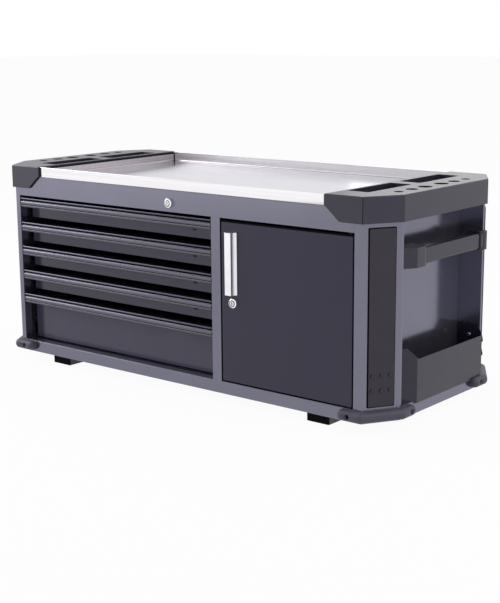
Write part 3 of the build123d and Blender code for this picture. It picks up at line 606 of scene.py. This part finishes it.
# Corner trims, bumpers and screws: black moulded strips with studs on the corner faces, each
# outlined by a thin near-black sheet under it, painted shade for the gap round it, thick rounded grey
# bumpers round the foot, and pan-head screws, bright in the bins and near-black in the bumpers,
# where that is painted shade for their holes.

TRIM_COUNT = 4
TRIM_EDGE = 0.6 * MM
SHADE_OUTLINE_MARGIN = 2.4 * MM
SHADE_OUTLINE_SKIN = 0.8 * MM
BUMPER_SCREW_TOP = 60.0 * MM
UP = Vector((0, 0, 1))

trim_black = moulded("trim_black", dark=(0.013, 0.011, 0.017), light=(0.017, 0.0145, 0.021),
                     rough=0.42, shine=0.5)
# Painted shade: near-black and almost unshining, for the outline round each trim.
shade_outline_black = moulded("shade_outline_black", dark=(0.002, 0.002, 0.002), light=(0.004, 0.004, 0.004),
                       rough=0.6, shine=0.03)
bumper_grey = moulded("bumper_grey", dark=(0.078, 0.074, 0.102), light=(0.085, 0.081, 0.110),
                      rough=0.5, shine=0.25)
SCREW_FINISHES = [bright_zinc, painted_shade_black]


def shade_outline_under(back):
    """A thin sheet under a trim's flat back face, a little larger than the face all round: painted
    shade.
    """
    outward = -back.normal.normalized()
    middle = back.calc_center_bounds()
    across = outward.cross(UP).normalized()
    work = bmesh.new()
    rim = []
    for corner in back.verts:
        offset = corner.co - middle
        side = math.copysign(SHADE_OUTLINE_MARGIN, offset.dot(across)) * across
        rise = math.copysign(SHADE_OUTLINE_MARGIN, offset.z) * UP
        rim.append(work.verts.new(corner.co + side + rise))
    thicken(work, work.faces.new(rim), outward * SHADE_OUTLINE_SKIN)
    return work


trims = joined_facets("corner_trims")
broad = sorted(trims.faces, key=lambda face: face.calc_area())[-2 * TRIM_COUNT:]
backs = [face for face in broad if face.normal.dot(face.calc_center_bounds()) < 0]
# Painted shade: a near-black sheet under each trim, showing round its edges as a dark outline.
for number, back in enumerate(backs, 1):
    shade_outline = shade_outline_under(back)
    piece_from(shade_outline, f"trim_shade_outline_{number}", "cabinet", [shade_outline_black])
trims.free()
eased("corner_trims", trim_black, TRIM_EDGE)
for corner in ("front_left", "front_right", "rear_left", "rear_right"):
    eased(f"bumper_{corner}", bumper_grey)
screws = joined_facets("panel_screws")
# Painted shade: the screw heads in the bumpers take the near-black finish, for the shade in their
# holes.
for face in screws.faces:
    if face.calc_center_median().z < BUMPER_SCREW_TOP:
        face.material_index = SCREW_FINISHES.index(painted_shade_black)
stand_in(screws, "panel_screws", SCREW_FINISHES)

# Grab bars and bins in the end recesses: moulded bars in moulded brackets, with a near-black
# collar where each bar enters its rear bracket, painted shade for the shadow there, and folded bins.
# Black plastic, and black powder coat on the bins.

BRACKET_EDGE = 1.2 * MM
REAR_BRACKET = 22.0 * MM
SHADE_COLLAR_LENGTH = 12.0 * MM
SHADE_COLLAR_WALL = 1.5 * MM
SHADE_COLLAR_EDGE = 4.0 * MM
SHADE_COLLAR_STEPS = 4

grab_black = moulded("grab_black", dark=(0.012, 0.011, 0.021), light=(0.016, 0.015, 0.026),
                     rough=0.36, shine=0.55)
bin_black = powder_coat("bin_powder_coat", dark=(0.012, 0.011, 0.023), light=(0.015, 0.014, 0.027),
                        smooth=0.24, rough=0.3, flake=0.0)

for end in ("left", "right"):
    eased(f"grab_bar_{end}", grab_black)
    eased(f"side_bin_{end}", bin_black, SHEET_EDGE)
eased("grab_brackets", grab_black, BRACKET_EDGE, BOLD_EDGE_STEPS)
rear_face = corners("grab_brackets")[1].y - REAR_BRACKET
# Painted shade: a near-black collar round each bar's rear end, where the shadow falls by the rear
# bracket.
for end in ("left", "right"):
    low, high = corners(f"grab_bar_{end}")
    wall = Vector((SHADE_COLLAR_WALL, 0, SHADE_COLLAR_WALL))
    shade_collar = brick(Vector((low.x, rear_face - SHADE_COLLAR_LENGTH, low.z)) - wall,
                   Vector((high.x, rear_face, high.z)) + wall)
    ease_edges(shade_collar, SHADE_COLLAR_EDGE, SHADE_COLLAR_STEPS)
    piece_from(shade_collar, f"grab_shade_collar_{end}", "cabinet", [seam_and_shade_black])

# Studio: a pale floor under an even white surround, soft lamps beyond the front left corner, the
# right end and the rear, and the camera where the photograph was taken.

FLOOR_HALF = 30.0
FLOOR_ROUGHNESS = 0.9
FLOOR_WHITE_SHARE = 0.95
SURROUND = 0.55
CHEST_MIDDLE = Vector((0, 0, 0.3))

floor_work = bmesh.new()
bmesh.ops.create_grid(floor_work, x_segments=1, y_segments=1, size=FLOOR_HALF)
floor_mesh = bpy.data.meshes.new("studio_floor")
floor_work.to_mesh(floor_mesh)
floor_work.free()
floor = bpy.data.objects.new("studio_floor", floor_mesh)
bpy.context.scene.collection.objects.link(floor)


def seen_as_white(tree):
    """1 for what the camera sees directly, in a mirror or through glass, and 0 for other light."""
    path = tree.nodes.new("ShaderNodeLightPath")
    seen = path.outputs["Is Camera Ray"]
    for ray in ("Is Glossy Ray", "Is Transmission Ray"):
        either = tree.nodes.new("ShaderNodeMath")
        either.operation = "MAXIMUM"
        tree.links.new(seen, either.inputs[0])
        tree.links.new(path.outputs[ray], either.inputs[1])
        seen = either.outputs[0]
    return seen


pale, tree, shader, place = new_finish("pale_floor")
tones(tree, grain(tree, place, per_metre=3, detail=2), dark=(0.84, 0.84, 0.84),
      light=(0.86, 0.86, 0.86), socket=shader.inputs["Base Color"])
shader.inputs["Roughness"].default_value = FLOOR_ROUGHNESS
shader.inputs["Specular IOR Level"].default_value = 0.0
glow = tree.nodes.new("ShaderNodeEmission")
share = tree.nodes.new("ShaderNodeMath")
share.operation = "MULTIPLY"
share.inputs[1].default_value = FLOOR_WHITE_SHARE
tree.links.new(seen_as_white(tree), share.inputs[0])
mix = tree.nodes.new("ShaderNodeMixShader")
tree.links.new(share.outputs[0], mix.inputs["Fac"])
tree.links.new(shader.outputs["BSDF"], mix.inputs[1])
tree.links.new(glow.outputs["Emission"], mix.inputs[2])
tree.links.new(mix.outputs["Shader"], tree.nodes["Material Output"].inputs["Surface"])
floor_mesh.materials.append(pale)

world = bpy.data.worlds.new("white_surround")
bpy.context.scene.world = world
world.use_nodes = True
tree = world.node_tree
sky = tree.nodes["Background"]
sky.inputs["Color"].default_value = (1, 1, 1, 1)
level = tree.nodes.new("ShaderNodeMapRange")
level.inputs["To Min"].default_value = SURROUND
level.inputs["To Max"].default_value = 1.0
tree.links.new(seen_as_white(tree), level.inputs["Value"])
tree.links.new(level.outputs["Result"], sky.inputs["Strength"])


def soft_lamp(name, place, width, height, power):
    """A large lamp that points at the chest and that the camera doesn't see."""
    lamp = bpy.data.lights.new(name, "AREA")
    lamp.shape = "RECTANGLE"
    lamp.size = width
    lamp.size_y = height
    lamp.energy = power
    holder = bpy.data.objects.new(name, lamp)
    holder.visible_camera = False
    holder.location = place
    holder.rotation_euler = (CHEST_MIDDLE - Vector(place)).to_track_quat("-Z", "Y").to_euler()
    bpy.context.scene.collection.objects.link(holder)


soft_lamp("front_lamp", place=(-2.8, -1.1, 1.7), width=1.8, height=1.8, power=55)
soft_lamp("side_lamp", place=(-2.2, -2.1, 0.77), width=2.4, height=1.5, power=5)
soft_lamp("end_lamp", place=(3.0, 0.6, 2.2), width=2.0, height=2.0, power=36)
soft_lamp("back_lamp", place=(-1.35, 3.45, 1.0), width=1.2, height=1.2, power=4)

AZIMUTH = math.radians(39.44)
ELEVATION = math.radians(12.14)
ROLL = math.radians(-0.47)
EYE = (2.0276, -2.4235, 0.8616)
FOCAL_LENGTH = 76.11
FILM_WIDTH = 36.0
VIEW_END = 200.0
level_right = Vector((math.cos(AZIMUTH), math.sin(AZIMUTH), 0))
toward_eye = Vector((math.sin(AZIMUTH) * math.cos(ELEVATION),
                     -math.cos(AZIMUTH) * math.cos(ELEVATION), math.sin(ELEVATION)))
level_up = toward_eye.cross(level_right)
camera_right = math.cos(ROLL) * level_right + math.sin(ROLL) * level_up
camera_up = math.cos(ROLL) * level_up - math.sin(ROLL) * level_right
turn = Matrix((camera_right, camera_up, toward_eye)).transposed()
lens = bpy.data.cameras.new("photo_camera")
lens.lens = FOCAL_LENGTH
lens.sensor_width = FILM_WIDTH
lens.clip_end = VIEW_END
camera = bpy.data.objects.new("photo_camera", lens)
camera.matrix_world = Matrix.Translation(EYE) @ turn.to_4x4()
bpy.context.scene.collection.objects.link(camera)
bpy.context.scene.camera = camera
bpy.context.scene.view_settings.view_transform = "Standard"
